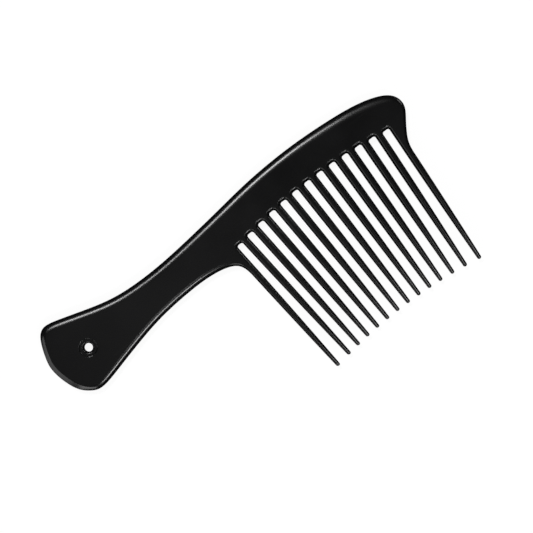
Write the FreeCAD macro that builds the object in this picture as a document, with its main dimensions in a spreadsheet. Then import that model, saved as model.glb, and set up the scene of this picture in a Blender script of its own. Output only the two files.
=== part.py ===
import FreeCAD, Part
import math
import os

import Sketcher
from FreeCAD import Vector

# Wide tooth rake comb, one plastic moulding lying flat, in millimetres.
# +X runs from the hanging end to the head, the teeth point towards -Y, +Z is up.
# The moulding is divided where its functions change: hanging end, handle, back and teeth.
# Neighbouring regions meet face to face on plane faces.

TOOTH_COUNT = 14
EVENLY_SPACED = 11      # teeth up to this one keep the regular pitch
EVENLY_LEANING = 12     # teeth up to this one lean a step less than the one before

DIMENSIONS = {
    # plate: handle and back
    "plate_thickness": 5.6,
    "edge_radius": 1.9,
    "slot_edge_radius": 1.4,
    "handle_from_x": -78.0,
    "back_from_x": -20.0,
    # hanging hole, and the shallow round recess about it in both faces
    "hole_x": -87.2,
    "hole_y": 29.8,
    "hole_diameter": 4.2,
    "hole_rim_radius": 1.0,
    "recess_radius": 4.3,
    "recess_depth": 0.55,
    "recess_edge_radius": 0.45,
    # slots between the teeth: their tops lie on a wide arc
    "slot_top_apex_x": 52.0,
    "slot_top_apex_y": 30.5,
    "slot_top_arc_radius": 253.0,
    "slot_corner_radius": 1.1,
    "slot_mouth_y": 8.0,
    # tooth layout: axis positions are measured where y = root_y
    "root_y": 24.0,
    "outer_root_y": 9.0,
    "second_tooth_x": 6.04,
    "first_pitch": 7.12,
    "pitch": 7.485,
    "last_pitch": 7.85,
    "first_lean": 5.1,
    "second_lean": 5.6,
    "lean_step": 0.85,
    "last_lean": -3.45,
    # tooth tips lie on a second wide arc
    "tip_apex_x": 49.6,
    "tip_apex_y": -47.35,
    "tip_arc_radius": 248.0,
    # tooth taper from root to tip
    "tooth_root_width": 3.84,
    "tooth_outer_root_width": 3.7,
    "tooth_tip_width": 1.95,
    "tooth_tip_thickness": 1.95,
    "width_power": 1.75,
    "thickness_power": 3.0,
    "tip_corner_radius": 0.92,
    "tip_dome_margin": 0.02,
}

# Control points of the outline, from the last tooth's outer side round the nose, along the
# back, round the flared hanging end and under the handle to the first tooth's outer side.
OUTLINE = [
    (97.9, 9.0), (98.1, 14.5), (100.5, 19.5), (104.5, 25.5),
    (109.0, 31.5), (107.5, 38.5), (101.0, 43.0), (88.0, 46.6),
    (70.0, 48.3), (49.0, 49.3), (24.0, 48.1), (5.5, 45.4),
    (-22.5, 42.0), (-41.5, 40.5), (-61.5, 41.1), (-76.0, 45.0),
    (-90.5, 49.5), (-99.5, 52.0), (-104.0, 48.0), (-107.5, 38.0),
    (-109.0, 31.0), (-105.0, 17.0), (-99.5, 12.2), (-94.5, 9.4),
    (-84.0, 12.0), (-70.0, 15.8), (-50.0, 20.6), (-29.5, 22.0),
    (-19.0, 22.0), (-6.0, 20.0), (-2.1, 15.5), (-1.6, 9.0),
]

# Where each tooth's cross sections lie, as fractions of the run from root_y to the tip.
SECTION_FRACTIONS = [0.0, 0.08, 0.18, 0.36, 0.58, 0.8]
OUTER_SECTION_FRACTIONS = [0.36, 0.57, 0.79]

NEAR = 1e-3             # lengths closer than this are equal
LEAST_CUT = 1.0         # a cut takes away more than this, in cubic millimetres
REGION_REACH = 120.0    # the regions' cutting boxes reach this far from the origin along x
REGION_HALF_WIDTH = 60.0
REGION_FLOOR = -5.0
REGION_HEIGHT = 20.0

doc = FreeCAD.newDocument("rake_comb")


def make_sheet():
    """Put the driving dimensions and the outline's control points into the spreadsheet."""
    sheet = doc.addObject("Spreadsheet::Sheet", "dims")
    rows = list(DIMENSIONS.items())
    for number, (x, y) in enumerate(OUTLINE, start=1):
        rows.append((f"outline_{number:02d}_x", x))
        rows.append((f"outline_{number:02d}_y", y))
    for row, (alias, value) in enumerate(rows, start=1):
        sheet.set(f"A{row}", alias)
        sheet.set(f"B{row}", str(value))
        sheet.setAlias(f"B{row}", alias)
    doc.recompute()
    return sheet


def origin_plane(body, role):
    """Return one of a body's own origin planes."""
    for feature in body.Origin.OriginFeatures:
        if feature.Role == role:
            return feature
    raise RuntimeError("no plane " + role)


def new_sketch(body, name, role):
    """Start a sketch on one of the body's origin planes."""
    sketch = body.newObject("Sketcher::SketchObject", name)
    sketch.AttachmentSupport = (origin_plane(body, role), "")
    sketch.MapMode = "FlatFace"
    return sketch


def bind(sketch, kind, references, value, expression):
    """Add a dimension to a sketch and bind it to the spreadsheet."""
    index = sketch.addConstraint(Sketcher.Constraint(kind, *references, value))
    sketch.setExpression(f"Constraints[{index}]", expression)


def bind_point(sketch, geometry, vertex, point, expressions):
    """Bind a point's two coordinates, measured from the sketch's origin."""
    bind(sketch, "DistanceX", (-1, 1, geometry, vertex), point.x, expressions[0])
    bind(sketch, "DistanceY", (-1, 1, geometry, vertex), point.y, expressions[1])


def make_layout(number):
    """Work out one tooth's root, lean and tip from the driving dimensions."""
    if number == 1:
        root_x = "dims.second_tooth_x - dims.first_pitch"
        lean = "dims.first_lean"
    else:
        regular = min(number, EVENLY_SPACED) - 2
        wide = max(number - EVENLY_SPACED, 0)
        root_x = f"dims.second_tooth_x + {regular} * dims.pitch + {wide} * dims.last_pitch"
        lean = f"dims.second_lean - {number - 2} * dims.lean_step"
    if number > EVENLY_LEANING:
        lean = "dims.last_lean"
    layout = doc.addObject("App::VarSet", f"layout_{number:02d}")
    for name in ("RootX", "Slope", "TipY", "Run"):
        layout.addProperty("App::PropertyFloat", name)
    me = layout.Name
    tip_x = f"({me}.RootX + (dims.root_y - dims.tip_apex_y) * {me}.Slope)"
    drop = f"({tip_x} - dims.tip_apex_x)^2 / (2 * dims.tip_arc_radius)"
    layout.setExpression("RootX", root_x)
    layout.setExpression("Slope", f"tan(({lean}) * 1 deg)")
    layout.setExpression("TipY", f"dims.tip_apex_y - {drop}")
    layout.setExpression("Run", f"dims.root_y - {me}.TipY")
    return layout


def flank_x(number, side, y_name, width_name):
    """Expression for where one side of a tooth crosses a line of constant y."""
    me = f"layout_{number:02d}"
    sign = "+" if side > 0 else "-"
    return f"{me}.RootX + (dims.root_y - dims.{y_name}) * {me}.Slope {sign} dims.{width_name} / 2"


def slot_middle(number):
    """Expression for the middle of the slot that follows a tooth, where y = root_y."""
    return f"(layout_{number:02d}.RootX + layout_{number + 1:02d}.RootX) / 2"


def slot_corner(number, side):
    """Expressions for the centre of one rounded corner at the top of the slot after a tooth."""
    beside = f"layout_{number:02d}" if side < 0 else f"layout_{number + 1:02d}"
    inward = "+" if side < 0 else "-"
    drop = f"({slot_middle(number)} - dims.slot_top_apex_x)^2 / (2 * dims.slot_top_arc_radius)"
    centre_y = f"dims.slot_top_apex_y - {drop} - dims.slot_corner_radius"
    axis_x = f"{beside}.RootX - ({centre_y} - dims.root_y) * {beside}.Slope"
    return f"{axis_x} {inward} (dims.tooth_root_width / 2 + dims.slot_corner_radius)", centre_y


def value_of(expression):
    """Evaluate an expression once, for a sketch's starting geometry."""
    return float(doc.getObject("dims").evalExpression(expression))


def add_outline_spline(sketch):
    """Add the outline as one cubic spline whose control points are bound to the sheet."""
    degree = 3
    poles = [Vector(x, y, 0) for x, y in OUTLINE]
    inner_knots = len(poles) - degree + 1
    multiplicities = [degree + 1] + [1] * (inner_knots - 2) + [degree + 1]
    curve = Part.BSplineCurve()
    curve.buildFromPolesMultsKnots(poles, multiplicities, list(range(inner_knots)), False, degree)
    spline = sketch.addGeometry(curve, False)
    circles = [Part.Circle(pole, Vector(0, 0, 1), 1.0) for pole in poles]
    first = sketch.addGeometry(circles, True)[0]
    constraints = []
    for index in range(len(poles)):
        circle = first + index
        constraints.append(Sketcher.Constraint("Weight", circle, 1.0))
        alignment = "InternalAlignment:Sketcher::BSplineControlPoint"
        constraints.append(Sketcher.Constraint(alignment, circle, 3, spline, index))
    sketch.addConstraint(constraints)
    for index, pole in enumerate(poles):
        names = [f"dims.outline_{index + 1:02d}_x", f"dims.outline_{index + 1:02d}_y"]
        if index == 0:
            names[0] = flank_x(TOOTH_COUNT, 1, "outer_root_y", "tooth_outer_root_width")
        if index == len(poles) - 1:
            names[0] = flank_x(1, -1, "outer_root_y", "tooth_outer_root_width")
        bind_point(sketch, first + index, 3, pole, names)
    return spline


def add_root_steps(sketch, spline):
    """Close the outline under the teeth's roots: the two outer teeth start lower."""
    first_slot_x = slot_middle(1)
    last_slot_x = slot_middle(TOOTH_COUNT - 1)
    first_slot = value_of(first_slot_x)
    last_slot = value_of(last_slot_x)
    low = DIMENSIONS["outer_root_y"]
    high = DIMENSIONS["root_y"]
    corners = [
        Vector(OUTLINE[-1][0], low, 0),
        Vector(first_slot, low, 0),
        Vector(first_slot, high, 0),
        Vector(last_slot, high, 0),
        Vector(last_slot, low, 0),
        Vector(OUTLINE[0][0], low, 0),
    ]
    lines = []
    for start, end in zip(corners, corners[1:]):
        lines.append(sketch.addGeometry(Part.LineSegment(start, end), False))
    joins = [Sketcher.Constraint("Coincident", spline, 2, lines[0], 1)]
    for before, after in zip(lines, lines[1:]):
        joins.append(Sketcher.Constraint("Coincident", before, 2, after, 1))
    joins.append(Sketcher.Constraint("Coincident", lines[-1], 2, spline, 1))
    for index, line in enumerate(lines):
        joins.append(Sketcher.Constraint("Vertical" if index % 2 else "Horizontal", line))
    sketch.addConstraint(joins[:-1])
    bind(sketch, "DistanceX", (-1, 1, lines[1], 1), first_slot, first_slot_x)
    bind(sketch, "DistanceX", (-1, 1, lines[3], 1), last_slot, last_slot_x)
    bind(sketch, "DistanceY", (-1, 1, lines[2], 1), high, "dims.root_y")


def add_slot(sketch, number):
    """Add one slot: a flat top, two rounded corners, and flanks that follow the teeth beside it."""
    left_corner = slot_corner(number, -1)
    right_corner = slot_corner(number, 1)
    mouth_left = flank_x(number, 1, "slot_mouth_y", "tooth_outer_root_width")
    mouth_right = flank_x(number + 1, -1, "slot_mouth_y", "tooth_outer_root_width")
    up = Vector(0, 0, 1)
    radius = DIMENSIONS["slot_corner_radius"]
    left_centre = Vector(value_of(left_corner[0]), value_of(left_corner[1]), 0)
    right_centre = Vector(value_of(right_corner[0]), value_of(right_corner[1]), 0)
    rise = Vector(0, radius, 0)
    aside = Vector(radius, 0, 0)
    low_left = Vector(value_of(mouth_left), DIMENSIONS["slot_mouth_y"], 0)
    low_right = Vector(value_of(mouth_right), DIMENSIONS["slot_mouth_y"], 0)
    quarter = math.pi / 2
    circle = Part.Circle(left_centre, up, radius)
    arc_left = sketch.addGeometry(Part.ArcOfCircle(circle, quarter, 2 * quarter), False)
    circle = Part.Circle(right_centre, up, radius)
    arc_right = sketch.addGeometry(Part.ArcOfCircle(circle, 0, quarter), False)
    top = sketch.addGeometry(Part.LineSegment(left_centre + rise, right_centre + rise), False)
    flank_left = sketch.addGeometry(Part.LineSegment(left_centre - aside, low_left), False)
    mouth = sketch.addGeometry(Part.LineSegment(low_left, low_right), False)
    flank_right = sketch.addGeometry(Part.LineSegment(low_right, right_centre + aside), False)
    sketch.addConstraint([
        Sketcher.Constraint("Tangent", top, 1, arc_left, 1),
        Sketcher.Constraint("Tangent", arc_left, 2, flank_left, 1),
        Sketcher.Constraint("Coincident", flank_left, 2, mouth, 1),
        Sketcher.Constraint("Coincident", mouth, 2, flank_right, 1),
        Sketcher.Constraint("Tangent", flank_right, 2, arc_right, 1),
        Sketcher.Constraint("Tangent", arc_right, 2, top, 2),
    ])
    bind(sketch, "Radius", (arc_left,), radius, "dims.slot_corner_radius")
    bind(sketch, "Radius", (arc_right,), radius, "dims.slot_corner_radius")
    bind_point(sketch, arc_left, 3, left_centre, left_corner)
    bind_point(sketch, arc_right, 3, right_centre, right_corner)
    bind_point(sketch, mouth, 1, low_left, (mouth_left, "dims.slot_mouth_y"))
    bind_point(sketch, mouth, 2, low_right, (mouth_right, "dims.slot_mouth_y"))


def level_edges(shape, wanted, depth=0.0):
    """Names of the level edges, this deep below either flat face, that a test accepts."""
    height = DIMENSIONS["plate_thickness"] / 2 - depth
    names = []
    for index, edge in enumerate(shape.Edges, start=1):
        box = edge.BoundBox
        if box.ZLength < NEAR and abs(abs(box.ZMin) - height) < NEAR and wanted(edge):
            names.append(f"Edge{index}")
    return names


def add_fillet(body, name, base, edge_names, expression):
    """Round the named edges of the body's last feature."""
    fillet = body.newObject("PartDesign::Fillet", name)
    fillet.Base = (base, edge_names)
    fillet.setExpression("Radius", expression)
    doc.recompute()
    return fillet


def add_pocket(body, name, sketch):
    """Cut a sketch right through the plate, both ways from its middle plane."""
    before = body.Shape.Volume
    pocket = body.newObject("PartDesign::Pocket", name)
    pocket.Profile = sketch
    pocket.Type = "Length"
    pocket.SideType = "Symmetric"
    pocket.setExpression("Length", "2 * dims.plate_thickness")
    doc.recompute()
    if body.Shape.Volume > before - LEAST_CUT:
        raise RuntimeError(name + " cut nothing")
    return pocket


def is_outline(edge):
    return isinstance(edge.Curve, Part.BSplineCurve)


def is_slot_side(edge):
    """True for the slots' tops, corners and flanks, not for the stubs' square ends."""
    box = edge.BoundBox
    above_roots = box.YMin > DIMENSIONS["outer_root_y"] - NEAR
    below_tops = box.YMax < DIMENSIONS["slot_top_apex_y"] + NEAR
    plain = isinstance(edge.Curve, (Part.Line, Part.Circle))
    stub_end = box.YLength < NEAR and box.YMin < DIMENSIONS["root_y"] + NEAR
    return above_roots and below_tops and plain and not stub_end


def is_round(edge, radius):
    """True for an arc or circle of this radius."""
    return isinstance(edge.Curve, Part.Circle) and abs(edge.Curve.Radius - radius) < NEAR


def is_rim(edge):
    return is_round(edge, DIMENSIONS["hole_diameter"] / 2)


def is_recess_edge(edge):
    return is_round(edge, DIMENSIONS["recess_radius"])


def add_recess(body, name, base_z):
    """Sink the round recess into one face, with a cylinder that starts at base_z."""
    before = body.Shape.Volume
    recess = body.newObject("PartDesign::SubtractiveCylinder", name)
    recess.AttachmentSupport = (origin_plane(body, "XY_Plane"), "")
    recess.MapMode = "FlatFace"
    recess.setExpression("Radius", "dims.recess_radius")
    recess.setExpression("Height", "dims.plate_thickness")
    recess.setExpression("AttachmentOffset.Base.x", "dims.hole_x")
    recess.setExpression("AttachmentOffset.Base.y", "dims.hole_y")
    recess.setExpression("AttachmentOffset.Base.z", base_z)
    doc.recompute()
    if body.Shape.Volume > before - LEAST_CUT:
        raise RuntimeError(name + " cut nothing")
    return recess


def make_plate():
    """Handle and back as one rounded plate with the slot roots and the hanging hole."""
    body = doc.addObject("PartDesign::Body", "plate")
    outline = new_sketch(body, "plate_outline", "XY_Plane")
    spline = add_outline_spline(outline)
    add_root_steps(outline, spline)
    pad = body.newObject("PartDesign::Pad", "plate_pad")
    pad.Profile = outline
    pad.SideType = "Symmetric"
    pad.setExpression("Length", "dims.plate_thickness")
    doc.recompute()
    add_fillet(body, "outer_rounding", pad, level_edges(pad.Shape, is_outline), "dims.edge_radius")
    slots = new_sketch(body, "slot_outlines", "XY_Plane")
    for number in range(1, TOOTH_COUNT):
        add_slot(slots, number)
    pocket = add_pocket(body, "slots", slots)
    names = level_edges(pocket.Shape, is_slot_side)
    add_fillet(body, "slot_rounding", pocket, names, "dims.slot_edge_radius")
    make_hanging_hole(body)
    body.setExpression("Placement.Base.z", "dims.plate_thickness / 2")
    doc.recompute()
    return body


def make_hanging_hole(body):
    """A round hole with rounded rims, in the middle of a shallow recess in each face."""
    hole = new_sketch(body, "hole_outline", "XY_Plane")
    place = Vector(DIMENSIONS["hole_x"], DIMENSIONS["hole_y"], 0)
    diameter = DIMENSIONS["hole_diameter"]
    circle = hole.addGeometry(Part.Circle(place, Vector(0, 0, 1), diameter / 2), False)
    bind(hole, "Diameter", (circle,), diameter, "dims.hole_diameter")
    bind_point(hole, circle, 3, place, ("dims.hole_x", "dims.hole_y"))
    add_pocket(body, "hanging_hole", hole)
    add_recess(body, "recess_top", "dims.plate_thickness / 2 - dims.recess_depth")
    below = "dims.recess_depth - dims.plate_thickness / 2 - dims.plate_thickness"
    last = add_recess(body, "recess_bottom", below)
    names = level_edges(last.Shape, is_rim, DIMENSIONS["recess_depth"])
    last = add_fillet(body, "rim_rounding", last, names, "dims.hole_rim_radius")
    names = level_edges(last.Shape, is_recess_edge)
    add_fillet(body, "recess_rounding", last, names, "dims.recess_edge_radius")


def make_region(name, plate, low_x, high_x):
    """One region of the plate, between two planes across its length."""
    box = doc.addObject("Part::Box", name + "_region")
    box.setExpression("Length", f"({high_x}) - ({low_x})")
    box.setExpression("Placement.Base.x", low_x)
    box.Width = 2 * REGION_HALF_WIDTH
    box.Placement.Base.y = -REGION_HALF_WIDTH
    box.Height = REGION_HEIGHT
    box.Placement.Base.z = REGION_FLOOR
    region = doc.addObject("Part::Common", name)
    region.Base = plate
    region.Tool = box
    region.Label = name
    return region


def add_section(body, number, index, fraction, radii):
    """One cross section of a tooth: a rectangle with rounded corners, below the root plane."""
    me = f"layout_{number:02d}"
    outer = number in (1, TOOTH_COUNT)
    start_y = "dims.outer_root_y" if outer else "dims.root_y"
    if fraction is None:
        depth = f"({start_y} - {me}.TipY - dims.tooth_tip_width / 2)"
        width = "dims.tooth_tip_width"
        thickness = "dims.tooth_tip_thickness"
    elif index == 0:
        depth = "0"
        width = "dims.tooth_outer_root_width" if outer else "dims.tooth_root_width"
        thickness = "dims.plate_thickness"
    else:
        depth = f"({start_y} - dims.root_y + {fraction} * {me}.Run)"
        loss = f"{fraction}^dims.width_power"
        width = f"(dims.tooth_root_width - (dims.tooth_root_width - dims.tooth_tip_width) * {loss})"
        loss = f"{fraction}^dims.thickness_power"
        thickness = f"(dims.plate_thickness - (dims.plate_thickness - dims.tooth_tip_thickness) * {loss})"
    sketch = new_sketch(body, f"{body.Name}_section_{index + 1}", "XZ_Plane")
    sketch.setExpression("AttachmentOffset.Base.z", depth)
    sketch.setExpression("AttachmentOffset.Base.x", f"{depth} * {me}.Slope")
    w = value_of(width) / 2
    t = value_of(thickness) / 2
    left, right = [value_of(radius) for radius in radii]
    up = Vector(0, 0, 1)
    quarter = math.pi / 2
    geometry = [
        Part.LineSegment(Vector(-w + left, t, 0), Vector(w - right, t, 0)),
        Part.ArcOfCircle(Part.Circle(Vector(w - right, t - right, 0), up, right), 0, quarter),
        Part.LineSegment(Vector(w, t - right, 0), Vector(w, -t + right, 0)),
        Part.ArcOfCircle(Part.Circle(Vector(w - right, -t + right, 0), up, right), -quarter, 0),
        Part.LineSegment(Vector(w - right, -t, 0), Vector(-w + left, -t, 0)),
        Part.ArcOfCircle(Part.Circle(Vector(-w + left, -t + left, 0), up, left), 2 * quarter, 3 * quarter),
        Part.LineSegment(Vector(-w, -t + left, 0), Vector(-w, t - left, 0)),
        Part.ArcOfCircle(Part.Circle(Vector(-w + left, t - left, 0), up, left), quarter, 2 * quarter),
    ]
    sketch.addGeometry(geometry, False)
    # Every arc turns anticlockwise, so a clockwise walk enters it at its end point.
    sketch.addConstraint([
        Sketcher.Constraint("Tangent", 0, 2, 1, 2),
        Sketcher.Constraint("Tangent", 1, 1, 2, 1),
        Sketcher.Constraint("Tangent", 2, 2, 3, 2),
        Sketcher.Constraint("Tangent", 3, 1, 4, 1),
        Sketcher.Constraint("Tangent", 4, 2, 5, 2),
        Sketcher.Constraint("Tangent", 5, 1, 6, 1),
        Sketcher.Constraint("Tangent", 6, 2, 7, 2),
        Sketcher.Constraint("Tangent", 7, 1, 0, 1),
        Sketcher.Constraint("Horizontal", 0),
        Sketcher.Constraint("Vertical", 2),
        Sketcher.Constraint("Horizontal", 4),
        Sketcher.Constraint("Vertical", 6),
        Sketcher.Constraint("Equal", 1, 3),
        Sketcher.Constraint("Equal", 5, 7),
    ])
    bind(sketch, "Radius", (1,), right, radii[1])
    bind(sketch, "Radius", (5,), left, radii[0])
    bind(sketch, "DistanceY", (-1, 1, 0, 1), t, f"{thickness} / 2")
    bind(sketch, "DistanceY", (4, 1, -1, 1), t, f"{thickness} / 2")
    bind(sketch, "DistanceX", (-1, 1, 2, 1), w, f"{width} / 2")
    bind(sketch, "DistanceX", (6, 1, -1, 1), w, f"{width} / 2")
    return sketch


def corner_radii(number, fraction):
    """Corner radii of a tooth's section: they match the plate's rounding at the root."""
    tip = "dims.tip_corner_radius"
    if fraction is None:
        return tip, tip
    blend = f"(dims.slot_edge_radius - (dims.slot_edge_radius - {tip}) * {fraction})"
    if fraction > 0 or number not in (1, TOOTH_COUNT):
        return blend, blend
    if number == 1:
        return "dims.edge_radius", "dims.slot_edge_radius"
    return "dims.slot_edge_radius", "dims.edge_radius"


def make_tooth(number):
    """One tooth: a smooth taper through its sections, closed by a domed tip."""
    me = f"layout_{number:02d}"
    outer = number in (1, TOOTH_COUNT)
    name = f"tooth_{number:02d}"
    body = doc.addObject("PartDesign::Body", name)
    body.Label = name
    fractions = [0.0] + OUTER_SECTION_FRACTIONS if outer else list(SECTION_FRACTIONS)
    fractions.append(None)
    sections = []
    for index, fraction in enumerate(fractions):
        radii = corner_radii(number, fraction)
        sections.append(add_section(body, number, index, fraction, radii))
    doc.recompute()
    loft = body.newObject("PartDesign::AdditiveLoft", name + "_taper")
    loft.Profile = sections[0]
    loft.Sections = sections[1:]
    start_y = "dims.outer_root_y" if outer else "dims.root_y"
    dome = body.newObject("PartDesign::AdditiveSphere", name + "_tip")
    dome.Angle1 = 0
    dome.Angle2 = 90
    dome.setExpression("Radius", "dims.tooth_tip_width / 2 + dims.tip_dome_margin")
    depth = f"({start_y} - {me}.TipY - dims.tooth_tip_width / 2)"
    dome.AttachmentSupport = (origin_plane(body, "XZ_Plane"), "")
    dome.MapMode = "FlatFace"
    dome.setExpression("AttachmentOffset.Base.z", depth)
    dome.setExpression("AttachmentOffset.Base.x", f"{depth} * {me}.Slope")
    body.setExpression("Placement.Base.x", f"{me}.RootX + (dims.root_y - {start_y}) * {me}.Slope")
    body.setExpression("Placement.Base.y", start_y)
    body.setExpression("Placement.Base.z", "dims.plate_thickness / 2")
    return body


def check_document(pieces):
    """Stop before anything is written if a feature failed or a shape is not sound."""
    for item in doc.Objects:
        if "Invalid" in item.State or "Error" in item.State:
            raise RuntimeError("failed: " + item.Name)
    for piece in pieces:
        shape = piece.Shape
        if shape.isNull() or not shape.isValid() or len(shape.Solids) != 1:
            raise RuntimeError("not one sound solid: " + piece.Label)
        print(f"{piece.Label:10s} {shape.Volume:10.2f} mm3 {shape.BoundBox}")


make_sheet()
for tooth_number in range(1, TOOTH_COUNT + 1):
    make_layout(tooth_number)
doc.recompute()

plate = make_plate()
pieces = [
    make_region("hang_end", plate, f"-{REGION_REACH}", "dims.handle_from_x"),
    make_region("handle", plate, "dims.handle_from_x", "dims.back_from_x"),
    make_region("back", plate, "dims.back_from_x", f"{REGION_REACH}"),
]
for tooth_number in range(1, TOOTH_COUNT + 1):
    pieces.append(make_tooth(tooth_number))
doc.recompute()
check_document(pieces)

os.makedirs("parts", exist_ok=True)
for piece in pieces:
    piece.Shape.exportStep(f"parts/{piece.Label}.step")
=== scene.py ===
import math

import bpy
import numpy as np
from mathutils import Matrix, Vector
from mathutils.geometry import delaunay_2d_cdt


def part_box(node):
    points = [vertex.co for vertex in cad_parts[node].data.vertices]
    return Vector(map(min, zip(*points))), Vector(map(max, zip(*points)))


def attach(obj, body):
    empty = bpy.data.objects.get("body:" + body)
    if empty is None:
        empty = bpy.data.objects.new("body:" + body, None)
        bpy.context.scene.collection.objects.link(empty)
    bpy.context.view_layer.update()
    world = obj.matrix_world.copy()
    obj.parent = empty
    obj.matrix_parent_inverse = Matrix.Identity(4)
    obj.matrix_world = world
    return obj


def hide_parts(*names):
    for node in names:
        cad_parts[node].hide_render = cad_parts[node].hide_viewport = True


# A black wide tooth rake comb, one plastic moulding lying flat, in metres.
# Its skin is built once, so that light runs over it without a break, and is then divided into
# the same named regions as the CAD model: hanging end, handle, back and teeth.

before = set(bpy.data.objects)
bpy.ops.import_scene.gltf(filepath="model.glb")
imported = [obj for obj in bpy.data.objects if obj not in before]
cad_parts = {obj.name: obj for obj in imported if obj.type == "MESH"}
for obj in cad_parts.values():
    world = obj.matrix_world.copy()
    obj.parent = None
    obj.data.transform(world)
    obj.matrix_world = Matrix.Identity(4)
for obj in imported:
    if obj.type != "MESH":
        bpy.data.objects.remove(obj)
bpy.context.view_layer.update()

MM = 0.001

# ---------------------------------------------------------------- sizes

TOOTH_COUNT = 14
HALF_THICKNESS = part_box("handle")[1].z / 2
PARTING_HALF_HEIGHT = 0.25 * MM     # half of the straight wall between the two rounded edges
PARTING_LARGEST_SHARE = 0.3         # that half is at most this share of the half thickness there
PARTING_RIDGE = 0.03 * MM           # how far the mould's parting line stands out
ROUNDING_STEPS = 9                  # rings across a rounded edge

OUTLINE_STEP = 0.55 * MM            # spacing of points along the outline
OUTLINE_SAMPLES = 20001             # places at which the outline's length is measured
FACE_STEP = 2.2 * MM                # spacing of points inside the flat faces
FACE_CLEARANCE = 0.6                # they stay this share of the spacing away from the border
SEAM_BLEND = 9.0 * MM               # how far each side of a seam the rings turn to follow it
SEAM_TOLERANCE = 1e-7               # a point this near to a seam lies on it
MERGE_DISTANCE = 1e-9               # triangulated points this near to each other are one

SEAMS = [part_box("handle")[0].x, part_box("handle")[1].x]
INNER_ROOT_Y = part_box("tooth_02")[1].y
OUTER_ROOT_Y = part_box("tooth_01")[1].y

BEVEL_SLOPE = 0.66                  # drop of the hanging end's bevel for each unit outward
BEVEL_SHOULDER = 1.06               # how far in the last flat ring lies, in widths of the bevel
BEVEL_SLOPE_SHARE = 0.65            # share of the rings that lie on the slope
BEVEL_CORNER = 0.12                 # width of the round below the slope, in widths of the bevel

HOLE_CENTRE = Vector((-87.2, 29.8)) * MM
HOLE_RADIUS = 2.1 * MM
HOLE_RIM = 1.1 * MM                 # width of the rounded rim
HOLE_RIM_DEPTH = 1.7 * MM           # how far down the wall that rounding reaches
HOLE_RIM_STEPS = 10
HOLE_POINTS = 96                    # points round the hole
RECESS_RADIUS = 4.3 * MM
RECESS_DEPTH = 0.55 * MM
RECESS_EDGE = 0.45 * MM             # radius of the recess's rounded upper edge
RECESS_EDGE_STEPS = 5
RECESS_CORNER = 0.1 * MM            # radius of the corner at its foot
RECESS_CORNER_STEPS = 3

SLOT_TOP_APEX = Vector((52.0, 30.5)) * MM   # highest point of the arc that the slots end on
SLOT_TOP_ARC_RADIUS = 253.0 * MM
SLOT_TOP_STEPS = 4
SLOT_CORNER_RADIUS = 1.1 * MM
SLOT_CORNER_STEPS = 8

TOOTH_ROUNDING_SHARE = 0.86         # rounded edge's width as a share of a tooth's half width
WIDTH_POWER = 1.75                  # how late along its length a tooth narrows
THICKNESS_POWER = 3.0               # how late along its length it thins
TIP_HALF_WIDTH = 0.975 * MM
TIP_HALF_THICKNESS = 0.975 * MM
TOOTH_STATIONS = 60                 # rings along a tooth before its round tip
TIP_STATIONS = 10                   # rings round the tip
ROOT_SLICE = 0.01 * MM              # CAD points this near to a tooth's upper end make its root
TIP_SLICE = 0.05 * MM               # and this near to its lower end make its tip

# Outline control points in millimetres, from the last tooth's outer side round the nose, along
# the back, round the hanging end and under the handle to the first tooth's outer side. Beside each
# are the width of the rounded edge, and how much of that edge is a straight bevel (0 to 1).
OUTLINE = [
    (97.9, 9.0, 1.6, 0), (98.1, 14.5, 1.7, 0), (100.5, 19.5, 1.8, 0), (104.5, 25.5, 1.8, 0),
    (109.0, 31.5, 1.8, 0), (107.5, 38.5, 3.2, 0), (101.0, 43.0, 5.2, 0), (88.0, 46.6, 5.8, 0),
    (70.0, 48.3, 4.9, 0), (49.0, 49.3, 4.5, 0), (24.0, 48.1, 4.4, 0), (5.5, 45.4, 4.2, 0),
    (-22.5, 42.0, 4.1, 0), (-41.5, 40.5, 4.0, 0), (-61.5, 41.1, 4.0, 0), (-76.0, 45.0, 4.0, 0),
    (-90.5, 49.5, 4.0, 0), (-99.5, 52.0, 3.8, 0), (-104.0, 48.0, 2.6, 0.6), (-107.5, 38.0, 2.3, 1),
    (-109.0, 31.0, 2.5, 1), (-105.0, 17.0, 2.7, 1), (-99.5, 12.2, 2.2, 0.7), (-94.5, 9.4, 2.6, 0),
    (-84.0, 12.0, 3.4, 0), (-70.0, 15.8, 3.4, 0), (-50.0, 20.6, 3.4, 0), (-29.5, 22.0, 3.4, 0),
    (-19.0, 22.0, 3.2, 0), (-6.0, 20.0, 2.2, 0), (-2.1, 15.5, 1.6, 0), (-1.6, 9.0, 1.6, 0),
]


# ---------------------------------------------------------------- the comb's skin

class Skin:
    """One closed surface, gathered as points and faces. Each face belongs to a named region."""

    def __init__(self):
        self.points = []
        self.faces = []
        self.regions = []

    def add_points(self, points):
        """Add points, and return their numbers."""
        first = len(self.points)
        self.points.extend(tuple(float(value) for value in point) for point in points)
        return list(range(first, len(self.points)))

    def add_face(self, indices, region):
        """Add one face, given by its points' numbers, to a region."""
        self.faces.append(tuple(indices))
        self.regions.append(region)

    def add_grid(self, columns, regions):
        """Quads between neighbouring columns; column i to i + 1 belongs to regions[i]."""
        for before, after, region in zip(columns, columns[1:], regions):
            for low, high in zip(range(len(before) - 1), range(1, len(before))):
                self.add_face((before[low], before[high], after[high], after[low]), region)


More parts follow.
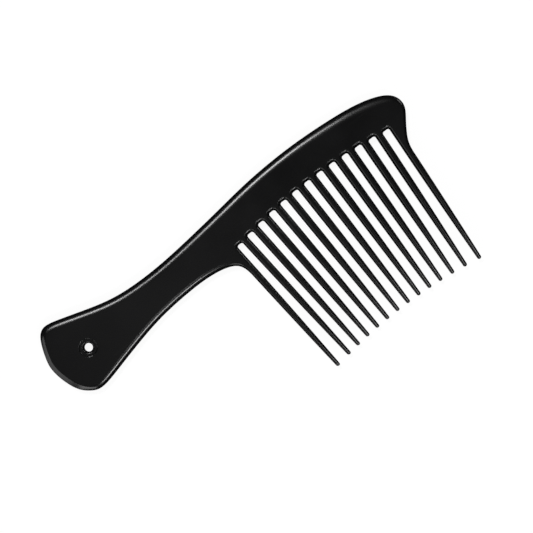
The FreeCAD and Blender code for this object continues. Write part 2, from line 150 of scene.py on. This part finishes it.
def rounding_profile(width, half_height, bevel=0.0):
    """Inward distance and height across an edge, from the top face's shoulder to the bottom's."""
    wall = min(PARTING_HALF_HEIGHT, PARTING_LARGEST_SHARE * half_height)
    rise = half_height - wall
    upper = []
    for step in range(ROUNDING_STEPS + 1):
        angle = 0.5 * math.pi * step / ROUNDING_STEPS
        inward = width * (1.0 - math.sin(angle))
        height = wall + rise * math.cos(angle)
        if bevel > 0.0:
            cut_inward, cut_height = bevel_point(step, width, half_height, wall)
            inward += bevel * (cut_inward - inward)
            height += bevel * (cut_height - height)
        upper.append((inward, height))
    ridge = PARTING_RIDGE * min(1.0, half_height / HALF_THICKNESS)
    lower = [(inward, -height) for inward, height in reversed(upper)]
    return upper + [(-ridge, 0.0)] + lower


def bevel_point(step, width, half_height, wall):
    """Inward distance and height on a bevelled edge: flat ring, slope, round, short wall."""
    if step == 0:
        return BEVEL_SHOULDER * width, half_height
    share = (step - 1) / (ROUNDING_STEPS - 1)
    corner = BEVEL_CORNER * width
    if share <= BEVEL_SLOPE_SHARE:
        inward = width + (corner - width) * share / BEVEL_SLOPE_SHARE
        return inward, half_height - BEVEL_SLOPE * (width - inward)
    turn = 0.5 * math.pi * (share - BEVEL_SLOPE_SHARE) / (1.0 - BEVEL_SLOPE_SHARE)
    start = half_height - BEVEL_SLOPE * (width - corner)
    return corner * (1.0 - math.sin(turn)), wall + (start - wall) * math.cos(turn)


def edge_column(skin, place, inward, profile, stretch=1.0):
    """A column of points across the edge at one place. stretch widens it where it runs askew."""
    points = []
    for distance, height in profile:
        shift = inward * (distance * stretch)
        points.append((place[0] + shift[0], place[1] + shift[1], HALF_THICKNESS + height))
    return skin.add_points(points)


def spline_basis(count, samples):
    """Weights of a clamped uniform cubic spline's control points at each sample in 0..1."""
    degree = 3
    inner_knots = np.linspace(0.0, 1.0, count - degree + 1)
    knots = np.concatenate([np.zeros(degree), inner_knots, np.ones(degree)])
    before_end = 1.0 - 1e-12
    samples = np.minimum(samples, before_end)
    weights = []
    for low, high in zip(knots, knots[1:]):
        weights.append(((low <= samples) & (samples < high)).astype(float))
    for order in range(1, degree + 1):
        raised = []
        for i in range(len(knots) - 1 - order):
            left = knots[i + order] - knots[i]
            right = knots[i + order + 1] - knots[i + 1]
            value = np.zeros_like(samples)
            if left > 0:
                value += (samples - knots[i]) / left * weights[i]
            if right > 0:
                value += (knots[i + order + 1] - samples) / right * weights[i + 1]
            raised.append(value)
        weights = raised
    return np.stack(weights, axis=1)


def outline_at(samples):
    """Outline positions and edge widths, in metres, and bevel shares, at spline parameters."""
    table = np.array(OUTLINE) * np.array([MM, MM, MM, 1.0])
    return spline_basis(len(OUTLINE), np.asarray(samples, float)) @ table


def outline_parameters():
    """Evenly spaced parameters along the outline, with one exactly where it crosses a seam."""
    fine = np.linspace(0.0, 1.0, OUTLINE_SAMPLES)
    places = outline_at(fine)[:, :2]
    lengths = np.concatenate([[0.0], np.cumsum(np.linalg.norm(np.diff(places, axis=0), axis=1))])
    count = int(lengths[-1] / OUTLINE_STEP)
    even = np.interp(np.linspace(0.0, lengths[-1], count + 1), lengths, fine)
    crossings = []
    for seam in SEAMS:
        offset = places[:, 0] - seam
        for i in np.nonzero(offset[:-1] * offset[1:] < 0)[0]:
            share = offset[i] / (offset[i] - offset[i + 1])
            crossings.append(fine[i] + share * (fine[i + 1] - fine[i]))
    for crossing in crossings:
        even[np.argmin(np.abs(even - crossing))] = crossing
    return even


def tooth_name(number):
    """Name of a tooth's CAD node and region. Tooth 1 is the nearest to the handle."""
    return f"tooth_{number:02d}"


def read_tooth(number):
    """A tooth's root centre, root half width and tip centre, read from its CAD node."""
    points = np.array([vertex.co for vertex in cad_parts[tooth_name(number)].data.vertices])
    root_y = points[:, 1].max()
    tip_y = points[:, 1].min()
    root = points[points[:, 1] > root_y - ROOT_SLICE]
    tip = points[points[:, 1] < tip_y + TIP_SLICE]
    return {
        "root": Vector(((root[:, 0].min() + root[:, 0].max()) / 2, root_y)),
        "half_width": float(root[:, 0].max() - root[:, 0].min()) / 2,
        "tip": Vector(((tip[:, 0].min() + tip[:, 0].max()) / 2, tip_y)),
    }


def tooth_slope(tooth):
    """Sideways shift of the tooth's axis for each metre towards the tip."""
    run = tooth["tip"] - tooth["root"]
    return -run.x / run.y


def root_column(skin, x, y, side, half_width):
    """Column where a flank crosses its tooth's root plane. side is +1 when material is at +x."""
    profile = rounding_profile(TOOTH_ROUNDING_SHARE * half_width, HALF_THICKNESS)
    return edge_column(skin, (x, y), np.array([float(side), 0.0]), profile)


def add_outline_edge(skin, teeth):
    """The rounded edge along the nose, back, hanging end and handle."""
    table = outline_at(outline_parameters())
    places = table[:, :2]
    tangents = np.gradient(places, axis=0)
    tangents /= np.linalg.norm(tangents, axis=1)[:, None]
    normals = np.stack([-tangents[:, 1], tangents[:, 0]], axis=1)
    columns = []
    for place, normal, (width, bevel) in zip(places, normals, table[:, 2:]):
        nearest = min(abs(place[0] - seam) for seam in SEAMS)
        share = max(0.0, 1.0 - nearest / SEAM_BLEND)
        share = share * share * (3.0 - 2.0 * share)     # eases in and out
        along_seam = np.array([0.0, math.copysign(1.0, normal[1])])
        inward = (1.0 - share) * normal + share * along_seam
        inward /= np.linalg.norm(inward)
        stretch = 1.0 / float(inward @ normal)
        profile = rounding_profile(width, HALF_THICKNESS, bevel)
        columns.append(edge_column(skin, place, inward, profile, stretch))
    nose_tooth = teeth[-1]
    handle_tooth = teeth[0]
    start_x = nose_tooth["root"].x + nose_tooth["half_width"]
    end_x = handle_tooth["root"].x - handle_tooth["half_width"]
    columns[0] = root_column(skin, start_x, OUTER_ROOT_Y, -1, nose_tooth["half_width"])
    columns[-1] = root_column(skin, end_x, OUTER_ROOT_Y, 1, handle_tooth["half_width"])
    middles = (places[:-1, 0] + places[1:, 0]) / 2
    skin.add_grid(columns, [plate_region(x) for x in middles])
    return columns


def plate_region(x):
    """Which part of the plate a place along its length belongs to."""
    if x < SEAMS[0]:
        return "hang_end"
    if x < SEAMS[1]:
        return "handle"
    return "back"


def flank_points(start, end):
    """Evenly spaced points along a slot's side, from its start to the last one before its end."""
    count = max(2, int((end - start).length / OUTLINE_STEP))
    return [start.lerp(end, i / count) for i in range(count)]


def slot_top(left, right):
    """Height along y of the flat top of the slot between two teeth."""
    left_x = left["root"].x + tooth_slope(left) * (left["root"].y - INNER_ROOT_Y)
    right_x = right["root"].x + tooth_slope(right) * (right["root"].y - INNER_ROOT_Y)
    middle_x = (left_x + right_x) / 2
    return SLOT_TOP_APEX.y - (middle_x - SLOT_TOP_APEX.x) ** 2 / (2 * SLOT_TOP_ARC_RADIUS)


def slot_corner(tooth, side, half_width, top_y):
    """Centre of a slot's rounded corner. side is +1 where the slot lies at the tooth's +x side."""
    y = top_y - SLOT_CORNER_RADIUS
    x = tooth["root"].x + tooth_slope(tooth) * (tooth["root"].y - y)
    return Vector((x + side * (half_width + SLOT_CORNER_RADIUS), y))


def tangent_angle(centre, point, side):
    """Angle on a slot's corner where a line from the point touches it: side -1 left, +1 right."""
    away = point - centre
    opening = math.acos(SLOT_CORNER_RADIUS / away.length)
    return math.atan2(away.y, away.x) + side * opening


def corner_arc(centre, start, end):
    """Points round a slot's corner, each with its direction from the corner's centre."""
    arc = []
    for i in range(SLOT_CORNER_STEPS + 1):
        angle = start + (end - start) * i / SLOT_CORNER_STEPS
        outward = Vector((math.cos(angle), math.sin(angle)))
        arc.append((centre + SLOT_CORNER_RADIUS * outward, outward))
    return arc


def add_slot_edge(skin, left, right):
    """The rounded edge of one slot: up the left tooth's flank, over the flat top and down."""
    half_width = max(left["half_width"], right["half_width"])
    top_y = slot_top(left, right)
    start = left["root"] + Vector((left["half_width"], 0.0))
    end = right["root"] - Vector((right["half_width"], 0.0))
    left_centre = slot_corner(left, 1, half_width, top_y)
    right_centre = slot_corner(right, -1, half_width, top_y)
    upward = math.pi / 2
    left_arc = corner_arc(left_centre, tangent_angle(left_centre, start, -1) + 2 * math.pi, upward)
    right_arc = corner_arc(right_centre, upward, tangent_angle(right_centre, end, 1))
    path = [(point, Vector((-1.0, 0.0))) for point in flank_points(start, left_arc[0][0])]
    path += left_arc
    for i in range(1, SLOT_TOP_STEPS):
        point = left_arc[-1][0].lerp(right_arc[0][0], i / SLOT_TOP_STEPS)
        path.append((point, Vector((0.0, 1.0))))
    path += right_arc
    down = flank_points(end, right_arc[-1][0])
    path += [(point, Vector((1.0, 0.0))) for point in reversed(down)]
    columns = []
    for point, inward in path:
        share = (point.x - left_arc[0][0].x) / (right_arc[-1][0].x - left_arc[0][0].x)
        share = min(1.0, max(0.0, share))
        beside = left["half_width"] * (1 - share) + right["half_width"] * share
        profile = rounding_profile(TOOTH_ROUNDING_SHARE * beside, HALF_THICKNESS)
        columns.append(edge_column(skin, point, np.array(inward), profile))
    skin.add_grid(columns, ["back"] * (len(columns) - 1))
    return columns


def add_hole(skin):
    """The hanging hole: rounded rims in a shallow recess, and a straight wall between them."""
    columns = []
    upper = hole_profile()
    lower = [(inward, -height) for inward, height in reversed(upper)]
    profile = upper + [(0.0, 0.0)] + lower
    for i in range(HOLE_POINTS):
        angle = -2 * math.pi * i / HOLE_POINTS
        outward = np.array([math.cos(angle), math.sin(angle)])
        place = np.array(HOLE_CENTRE) + outward * HOLE_RADIUS
        columns.append(edge_column(skin, place, outward, profile))
    skin.add_grid(columns + columns[:1], ["hang_end"] * HOLE_POINTS)
    return columns


def hole_profile():
    """Distance from the hole's wall and height, from the recess's upper edge down to the middle."""
    floor = HALF_THICKNESS - RECESS_DEPTH
    edge_foot = (RECESS_RADIUS, HALF_THICKNESS - RECESS_EDGE)
    corner_foot = (RECESS_RADIUS - RECESS_CORNER, floor)
    rim_foot = (HOLE_RADIUS, floor - HOLE_RIM_DEPTH)
    points = convex_turn(edge_foot, RECESS_EDGE, RECESS_EDGE, RECESS_EDGE_STEPS)
    points += concave_turn(corner_foot, RECESS_CORNER, RECESS_CORNER_STEPS)[1:]
    points.append(((RECESS_RADIUS + HOLE_RADIUS + HOLE_RIM) / 2, floor))
    points += convex_turn(rim_foot, HOLE_RIM, HOLE_RIM_DEPTH, HOLE_RIM_STEPS)
    return [(radius - HOLE_RADIUS, height) for radius, height in points]


def convex_turn(foot, width, depth, steps):
    """Radius and height down a rounded edge, from the flat above it to its foot on a wall."""
    points = []
    for step in range(steps + 1):
        angle = 0.5 * math.pi * step / steps
        radius = foot[0] + width * (1.0 - math.sin(angle))
        points.append((radius, foot[1] + depth * math.cos(angle)))
    return points


def concave_turn(foot, size, steps):
    """Radius and height down a hollow corner, from the wall above it to its foot on a floor."""
    points = []
    for step in range(steps + 1):
        angle = 0.5 * math.pi * step / steps
        height = foot[1] + size * (1.0 - math.sin(angle))
        points.append((foot[0] + size * math.cos(angle), height))
    return points


def face_loop(outline_columns, slot_columns, end):
    """The flat face's border, from the innermost ring at one end (0 top, -1 bottom)."""
    loop = [column[end] for column in outline_columns]
    for columns in slot_columns:
        loop.extend(column[end] for column in columns)
    return loop


def seam_points(skin, outline_columns):
    """For each seam, its two border points on the top face and the places between them."""
    seams = []
    for seam in SEAMS:
        ends = []
        for column in outline_columns:
            x, y, _ = skin.points[column[0]]
            if abs(x - seam) < SEAM_TOLERANCE:
                ends.append((y, column[0]))
        (low_y, low), (high_y, high) = sorted(ends)
        count = int((high_y - low_y) / FACE_STEP)
        inner = [(seam, low_y + (high_y - low_y) * i / count) for i in range(1, count)]
        seams.append((low, inner, high))
    return seams


def ring_edges(first, count):
    """The edges of a closed ring of points numbered one after another."""
    return [(first + i, first + (i + 1) % count) for i in range(count)]


def grid_points(border):
    """A triangular grid over the whole plate, without the points too near to the border's."""
    low_corner = border.min(axis=0)
    high_corner = border.max(axis=0)
    row_step = FACE_STEP * math.sqrt(3) / 2
    rows = int((high_corner[1] - low_corner[1]) / row_step)
    count = int((high_corner[0] - low_corner[0]) / FACE_STEP)
    points = []
    for row in range(1, rows):
        for i in range(1, count):
            x = low_corner[0] + FACE_STEP * (i + 0.5 * (row % 2))
            y = low_corner[1] + row_step * row
            gap = np.min(np.hypot(border[:, 0] - x, border[:, 1] - y))
            if gap > FACE_CLEARANCE * FACE_STEP:
                points.append((x, y))
    return points


def fill_faces(skin, outline_columns, slot_columns, hole_columns):
    """Triangulate the flat top face, and copy it to the bottom."""
    loop = face_loop(outline_columns, slot_columns, 0)
    bottom_loop = face_loop(outline_columns, slot_columns, -1)
    hole = [column[0] for column in hole_columns]
    bottom_hole = [column[-1] for column in hole_columns]
    flat = [skin.points[i][:2] for i in loop + hole]
    owners = list(zip(loop + hole, bottom_loop + bottom_hole))
    edges = ring_edges(0, len(loop)) + ring_edges(len(loop), len(hole))
    position = {index: place for place, index in enumerate(loop)}
    for low, inner, high in seam_points(skin, outline_columns):
        chain = [position[low], *range(len(flat), len(flat) + len(inner)), position[high]]
        edges += zip(chain, chain[1:])
        flat += inner
    flat += grid_points(np.array(flat))
    points = [Vector(point) for point in flat]
    inside_border = 1
    result = delaunay_2d_cdt(points, edges, [], inside_border, MERGE_DISTANCE)
    places, _, triangles, sources = result[:4]
    top_of = []
    bottom_of = []
    for place, source in zip(places, sources):
        if source and source[0] < len(owners):
            top, bottom = owners[source[0]]
        else:
            x, y = place
            top, bottom = skin.add_points([(x, y, 2 * HALF_THICKNESS), (x, y, 0.0)])
        top_of.append(top)
        bottom_of.append(bottom)
    for triangle in triangles:
        centre = sum((places[i] for i in triangle), Vector((0.0, 0.0))) / len(triangle)
        if (centre - HOLE_CENTRE).length < RECESS_RADIUS + RECESS_EDGE:
            continue
        region = plate_region(centre.x)
        skin.add_face([top_of[i] for i in triangle], region)
        skin.add_face([bottom_of[i] for i in reversed(triangle)], region)


def add_tooth(skin, number, tooth, left_column, right_column):
    """One tooth from its root plane to its rounded tip. Its first columns are the plate's own.

    A share runs from 0 on the inner teeth's root plane to 1 at the tip. The two end teeth have a
    lower root plane, and start further along.
    """
    name = tooth_name(number)
    tip = tooth["tip"]
    axis_top = tooth["root"].x + tooth_slope(tooth) * (tooth["root"].y - INNER_ROOT_Y)
    run = INNER_ROOT_Y - tip.y
    start = (INNER_ROOT_Y - tooth["root"].y) / run
    shaft_end = 1.0 - TIP_HALF_WIDTH / run
    root_half = tooth["half_width"]
    root_loss = start ** WIDTH_POWER
    full_half = (root_half - TIP_HALF_WIDTH * root_loss) / (1.0 - root_loss)
    lefts = [left_column]
    rights = [right_column]
    for i in range(1, TOOTH_STATIONS + TIP_STATIONS):
        if i <= TOOTH_STATIONS:
            share = start + (shaft_end - start) * i / TOOTH_STATIONS
            closing = 1.0
        else:
            angle = 0.5 * math.pi * (i - TOOTH_STATIONS) / TIP_STATIONS
            share = shaft_end + (1.0 - shaft_end) * math.sin(angle)
            closing = math.cos(angle)
        fade = min(share, shaft_end)
        half_width = full_half - (full_half - TIP_HALF_WIDTH) * fade ** WIDTH_POWER
        half_height = HALF_THICKNESS - (HALF_THICKNESS - TIP_HALF_THICKNESS) * fade ** THICKNESS_POWER
        half_width *= closing
        half_height *= closing
        y = INNER_ROOT_Y - share * run
        x = axis_top + tooth_slope(tooth) * share * run
        profile = rounding_profile(TOOTH_ROUNDING_SHARE * half_width, half_height)
        right_side = np.array([1.0, 0.0])
        lefts.append(edge_column(skin, (x - half_width, y), right_side, profile))
        rights.append(edge_column(skin, (x + half_width, y), -right_side, profile))
    skin.add_grid(lefts, [name] * (len(lefts) - 1))
    skin.add_grid(list(reversed(rights)), [name] * (len(rights) - 1))
    for i in range(len(lefts) - 1):
        skin.add_face((lefts[i][0], lefts[i + 1][0], rights[i + 1][0], rights[i][0]), name)
        skin.add_face((lefts[i][-1], rights[i][-1], rights[i + 1][-1], lefts[i + 1][-1]), name)
    pole = skin.add_points([(tip.x, tip.y, HALF_THICKNESS)])[0]
    rim = lefts[-1] + list(reversed(rights[-1]))
    for a, b in zip(rim, rim[1:] + rim[:1]):
        skin.add_face((a, b, pole), name)


def build_skin():
    """The whole comb's surface."""
    skin = Skin()
    teeth = [read_tooth(number) for number in range(1, TOOTH_COUNT + 1)]
    outline_columns = add_outline_edge(skin, teeth)
    slot_columns = []
    for left, right in zip(teeth, teeth[1:]):
        slot_columns.append(add_slot_edge(skin, left, right))
    hole_columns = add_hole(skin)
    fill_faces(skin, outline_columns, slot_columns, hole_columns)
    chains = [outline_columns] + slot_columns + [outline_columns]
    for number, tooth in enumerate(teeth, start=1):
        add_tooth(skin, number, tooth, chains[number - 1][-1], chains[number][0])
    return skin


# ---------------------------------------------------------------- pieces

def skin_normals(skin):
    """Smooth normals of the undivided skin, each face weighted by its area."""
    points = np.array(skin.points)
    normals = np.zeros_like(points)
    for face in skin.faces:
        corners = points[list(face)]
        area = np.zeros(3)
        for i in range(1, len(face) - 1):
            area += np.cross(corners[i] - corners[0], corners[i + 1] - corners[0])
        for index in face:
            normals[index] += area
    lengths = np.linalg.norm(normals, axis=1)
    lengths[lengths == 0] = 1.0
    return normals / lengths[:, None]


def border_loops(faces):
    """Closed loops of the edges that only one face uses, each against the faces' own turn."""
    used = set()
    for face in faces:
        for a, b in zip(face, face[1:] + face[:1]):
            used.add((a, b))
    following = {b: a for a, b in used if (b, a) not in used}
    loops = []
    while following:
        start, point = following.popitem()
        loop = [start]
        while point != start:
            loop.append(point)
            point = following.pop(point)
        loops.append(tuple(loop))
    return loops


def make_piece(skin, normals, region, material):
    """One region of the skin as a closed mesh, with a flat cap on each seam."""
    name = region + "_skin"
    faces = [face for face, owner in zip(skin.faces, skin.regions) if owner == region]
    caps = border_loops(faces)
    order = sorted({index for face in faces for index in face})
    local = {index: place for place, index in enumerate(order)}
    mesh = bpy.data.meshes.new(name)
    corners = [tuple(local[i] for i in face) for face in faces + caps]
    mesh.from_pydata([skin.points[i] for i in order], [], corners)
    mesh.materials.append(material)
    mesh.polygons.foreach_set("use_smooth", [True] * len(mesh.polygons))
    mesh.update()
    loop_normals = []
    for polygon, face in zip(mesh.polygons, faces + caps):
        if polygon.index < len(faces):
            loop_normals.extend(tuple(normals[i]) for i in face)
        else:
            loop_normals.extend([tuple(polygon.normal)] * len(face))
    mesh.normals_split_custom_set(loop_normals)
    piece = bpy.data.objects.new(name, mesh)
    bpy.context.scene.collection.objects.link(piece)
    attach(piece, "root")
    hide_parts(region)


# ---------------------------------------------------------------- material

BLACK = (0.0026, 0.0026, 0.0028, 1.0)
WORN_BLACK = (0.0130, 0.0130, 0.0135, 1.0)
PLASTIC_ROUGHNESS = 0.23
SMUDGE_SIZE = 30.0 * MM
GRAIN_SIZE = 0.9 * MM
PEEL_SIZE = 2.6 * MM                # patches of the orange peel that moulding leaves
RELIEF_DEPTH = 0.003 * MM
NOISE_RANGE = (0.3, 0.7)            # most of a cloudy noise lies between these values
SCRATCH_RANGE = (0.66, 0.73)        # a stretched noise is a scratch only above these
EDGE_RANGE = (0.54, 0.64)           # pointiness from a nearly flat place to a rounded edge
WEAR_RANGE = (0.40, 0.62)           # grain from an untouched spot to a worn one


def add_node(tree, kind, **sockets):
    """A shader node with some of its inputs set."""
    node = tree.nodes.new(kind)
    for socket, value in sockets.items():
        node.inputs[socket.replace("_", " ")].default_value = value
    return node


def remap(tree, source, low, high, to_low, to_high):
    """A pattern's value range, clamped and turned into another range."""
    node = add_node(tree, "ShaderNodeMapRange", From_Min=low, From_Max=high)
    node.inputs["To Min"].default_value = to_low
    node.inputs["To Max"].default_value = to_high
    tree.links.new(source, node.inputs["Value"])
    return node.outputs["Result"]


def blotches(tree, place, size, detail):
    """Cloudy noise whose patches are about the given size in metres."""
    node = add_node(tree, "ShaderNodeTexNoise", Scale=1.0 / size, Detail=detail, Roughness=0.55)
    tree.links.new(place, node.inputs["Vector"])
    return node.outputs["Fac"]


def scratches(tree, place, turn, stretch, size):
    """Fine broken lines in one direction: 1 on a line, 0 beside it."""
    turned = add_node(tree, "ShaderNodeMapping", Rotation=(0.0, 0.0, math.radians(turn)))
    turned.inputs["Scale"].default_value = (1.0, stretch, stretch)
    tree.links.new(place, turned.inputs["Vector"])
    lines = add_node(tree, "ShaderNodeTexNoise", Scale=1.0 / size, Detail=3.0, Roughness=0.6)
    tree.links.new(turned.outputs["Vector"], lines.inputs["Vector"])
    return remap(tree, lines.outputs["Fac"], *SCRATCH_RANGE, 0.0, 1.0)


def combine(tree, operation, first, second):
    """A math node on two values, each a socket or a number."""
    node = tree.nodes.new("ShaderNodeMath")
    node.operation = operation
    for place, value in enumerate((first, second)):
        if isinstance(value, (int, float)):
            node.inputs[place].default_value = value
        else:
            tree.links.new(value, node.inputs[place])
    return node.outputs["Value"]


def scale(tree, value, factor):
    """A pattern times a number."""
    return combine(tree, "MULTIPLY", value, factor)


def add_up(tree, *patterns):
    """The sum of several patterns."""
    total = patterns[0]
    for pattern in patterns[1:]:
        total = combine(tree, "ADD", total, pattern)
    return total


def comb_plastic():
    """Black moulded plastic: satin gloss, faint orange peel, handling scratches and worn edges."""
    material = bpy.data.materials.new("comb_plastic")
    material.use_nodes = True
    tree = material.node_tree
    shader = tree.nodes["Principled BSDF"]
    shader.inputs["IOR"].default_value = 1.5
    place = tree.nodes.new("ShaderNodeTexCoord").outputs["Object"]
    smudge = blotches(tree, place, SMUDGE_SIZE, detail=3.0)
    grain = blotches(tree, place, GRAIN_SIZE, detail=2.0)
    peel = blotches(tree, place, PEEL_SIZE, detail=1.0)
    marks = combine(
        tree, "MAXIMUM",
        scratches(tree, place, turn=12.0, stretch=22.0, size=30.0 * MM),
        scratches(tree, place, turn=-64.0, stretch=26.0, size=24.0 * MM),
    )
    pointiness = tree.nodes.new("ShaderNodeNewGeometry").outputs["Pointiness"]
    convex = remap(tree, pointiness, *EDGE_RANGE, 0.0, 1.0)
    worn = combine(tree, "MULTIPLY", convex, remap(tree, grain, *WEAR_RANGE, 0.0, 1.0))

    shade = tree.nodes.new("ShaderNodeMix")
    shade.data_type = "RGBA"
    shade.inputs["A"].default_value = BLACK
    shade.inputs["B"].default_value = WORN_BLACK
    tint = add_up(
        tree,
        remap(tree, smudge, *NOISE_RANGE, 0.0, 0.12),
        scale(tree, marks, 0.12),
        scale(tree, worn, 0.2),
    )
    tree.links.new(tint, shade.inputs["Factor"])
    tree.links.new(shade.outputs["Result"], shader.inputs["Base Color"])

    roughness = add_up(
        tree,
        remap(tree, smudge, *NOISE_RANGE, PLASTIC_ROUGHNESS - 0.02, PLASTIC_ROUGHNESS + 0.02),
        remap(tree, grain, *NOISE_RANGE, -0.005, 0.005),
        scale(tree, marks, 0.03),
        scale(tree, worn, 0.015),
    )
    tree.links.new(roughness, shader.inputs["Roughness"])

    relief = combine(tree, "SUBTRACT", peel, scale(tree, marks, 0.25))
    bump = add_node(tree, "ShaderNodeBump", Strength=1.0, Distance=RELIEF_DEPTH)
    tree.links.new(relief, bump.inputs["Height"])
    tree.links.new(bump.outputs["Normal"], shader.inputs["Normal"])
    return material


FLOOR_COLOUR = (0.10, 0.10, 0.10, 1.0)
FLOOR_GLOW = 0.90                   # the floor's own light, which keeps it an even near-white


def floor_material():
    """Plain near-white card."""
    material = bpy.data.materials.new("pale_floor")
    material.use_nodes = True
    shader = material.node_tree.nodes["Principled BSDF"]
    shader.inputs["Base Color"].default_value = FLOOR_COLOUR
    shader.inputs["Roughness"].default_value = 0.9
    shader.inputs["Emission Color"].default_value = (1.0, 1.0, 1.0, 1.0)
    shader.inputs["Emission Strength"].default_value = FLOOR_GLOW
    material.cycles.emission_sampling = "NONE"      # no ray is aimed at the glow, which adds noise
    return material


# ---------------------------------------------------------------- stage

PICTURE_TURN = math.radians(-37.0)      # the comb lies across the picture, head up to the right
PICTURE_WIDTH = 261.8 * MM              # width that the picture takes in at the comb
PICTURE_CENTRE = Vector((6.36, 8.96)) * MM      # place on the comb at the picture's middle
LENS = 90.0                             # focal length and sensor width, in the camera's millimetres
SENSOR = 36.0
FLOOR_HALF_SIZE = 3.0
SURROUND_STRENGTH = 0.3


def make_camera():
    """A camera straight above the comb."""
    data = bpy.data.cameras.new("camera")
    data.lens = LENS
    data.sensor_width = SENSOR
    camera = bpy.data.objects.new("camera", data)
    height = PICTURE_WIDTH * LENS / SENSOR + HALF_THICKNESS
    camera.location = (PICTURE_CENTRE.x, PICTURE_CENTRE.y, height)
    camera.rotation_euler = (0.0, 0.0, PICTURE_TURN)
    bpy.context.scene.collection.objects.link(camera)
    bpy.context.scene.camera = camera


# Rectangular lights round the comb: degrees down from overhead, direction in degrees from +X
# towards +Y, shift along X in metres, width and height in metres, power in watts.
SOFTBOXES = {
    "softbox_back": (35.0, 90.0, 0.04, (0.36, 0.21), 6.8),
    "softbox_front": (45.0, -90.0, 0.0, (0.27, 0.13), 3.8),
    "softbox_left": (72.0, 172.0, 0.0, (1.10, 0.50), 2.6),
    "softbox_corner": (70.0, 222.0, 0.0, (0.80, 0.50), 3.5),
    "softbox_tips": (17.0, -90.0, 0.14, (0.38, 0.12), 1.5),
    "softbox_nose": (77.0, 13.0, 0.0, (0.34, 0.20), 1.7),
    "softbox_top": (9.0, 169.0, 0.0, (0.30, 0.30), 0.06),
}
LIGHT_DISTANCE = 1.3                    # metres from the comb's middle, before the shift


def add_softbox(name, tilt, direction, shift, size, power):
    """A rectangular light facing the comb's middle."""
    data = bpy.data.lights.new(name, "AREA")
    data.shape = "RECTANGLE"
    data.size, data.size_y = size
    data.energy = power
    light = bpy.data.objects.new(name, data)
    across = LIGHT_DISTANCE * math.sin(math.radians(tilt))
    place = Vector((
        across * math.cos(math.radians(direction)) + shift,
        across * math.sin(math.radians(direction)),
        LIGHT_DISTANCE * math.cos(math.radians(tilt)),
    ))
    light.location = place
    light.rotation_euler = (-place).to_track_quat("-Z", "Y").to_euler()
    bpy.context.scene.collection.objects.link(light)


def make_stage():
    """Floor, softboxes and an even surround. Only the softboxes are reflected in the plastic."""
    mesh = bpy.data.meshes.new("floor")
    signs = [(-1, -1), (1, -1), (1, 1), (-1, 1)]
    corners = [(x * FLOOR_HALF_SIZE, y * FLOOR_HALF_SIZE, 0.0) for x, y in signs]
    mesh.from_pydata(corners, [], [(0, 1, 2, 3)])
    mesh.materials.append(floor_material())
    floor = bpy.data.objects.new("floor", mesh)
    floor.visible_glossy = False
    bpy.context.scene.collection.objects.link(floor)
    for name, (tilt, direction, shift, size, power) in SOFTBOXES.items():
        add_softbox(name, tilt, direction, shift, size, power)
    world = bpy.data.worlds.new("surround")
    bpy.context.scene.world = world
    world.use_nodes = True
    background = world.node_tree.nodes["Background"]
    background.inputs["Color"].default_value = (1.0, 1.0, 1.0, 1.0)
    background.inputs["Strength"].default_value = SURROUND_STRENGTH
    world.cycles_visibility.glossy = False
    world.cycles.sampling_method = "NONE"
    bpy.context.scene.view_settings.view_transform = "Standard"


def main():
    """The camera, the stage, and the comb's skin divided into its regions."""
    make_camera()
    make_stage()
    plastic = comb_plastic()
    skin = build_skin()
    normals = skin_normals(skin)
    teeth = [tooth_name(number) for number in range(1, TOOTH_COUNT + 1)]
    for region in ["hang_end", "handle", "back"] + teeth:
        make_piece(skin, normals, region, plastic)


main()
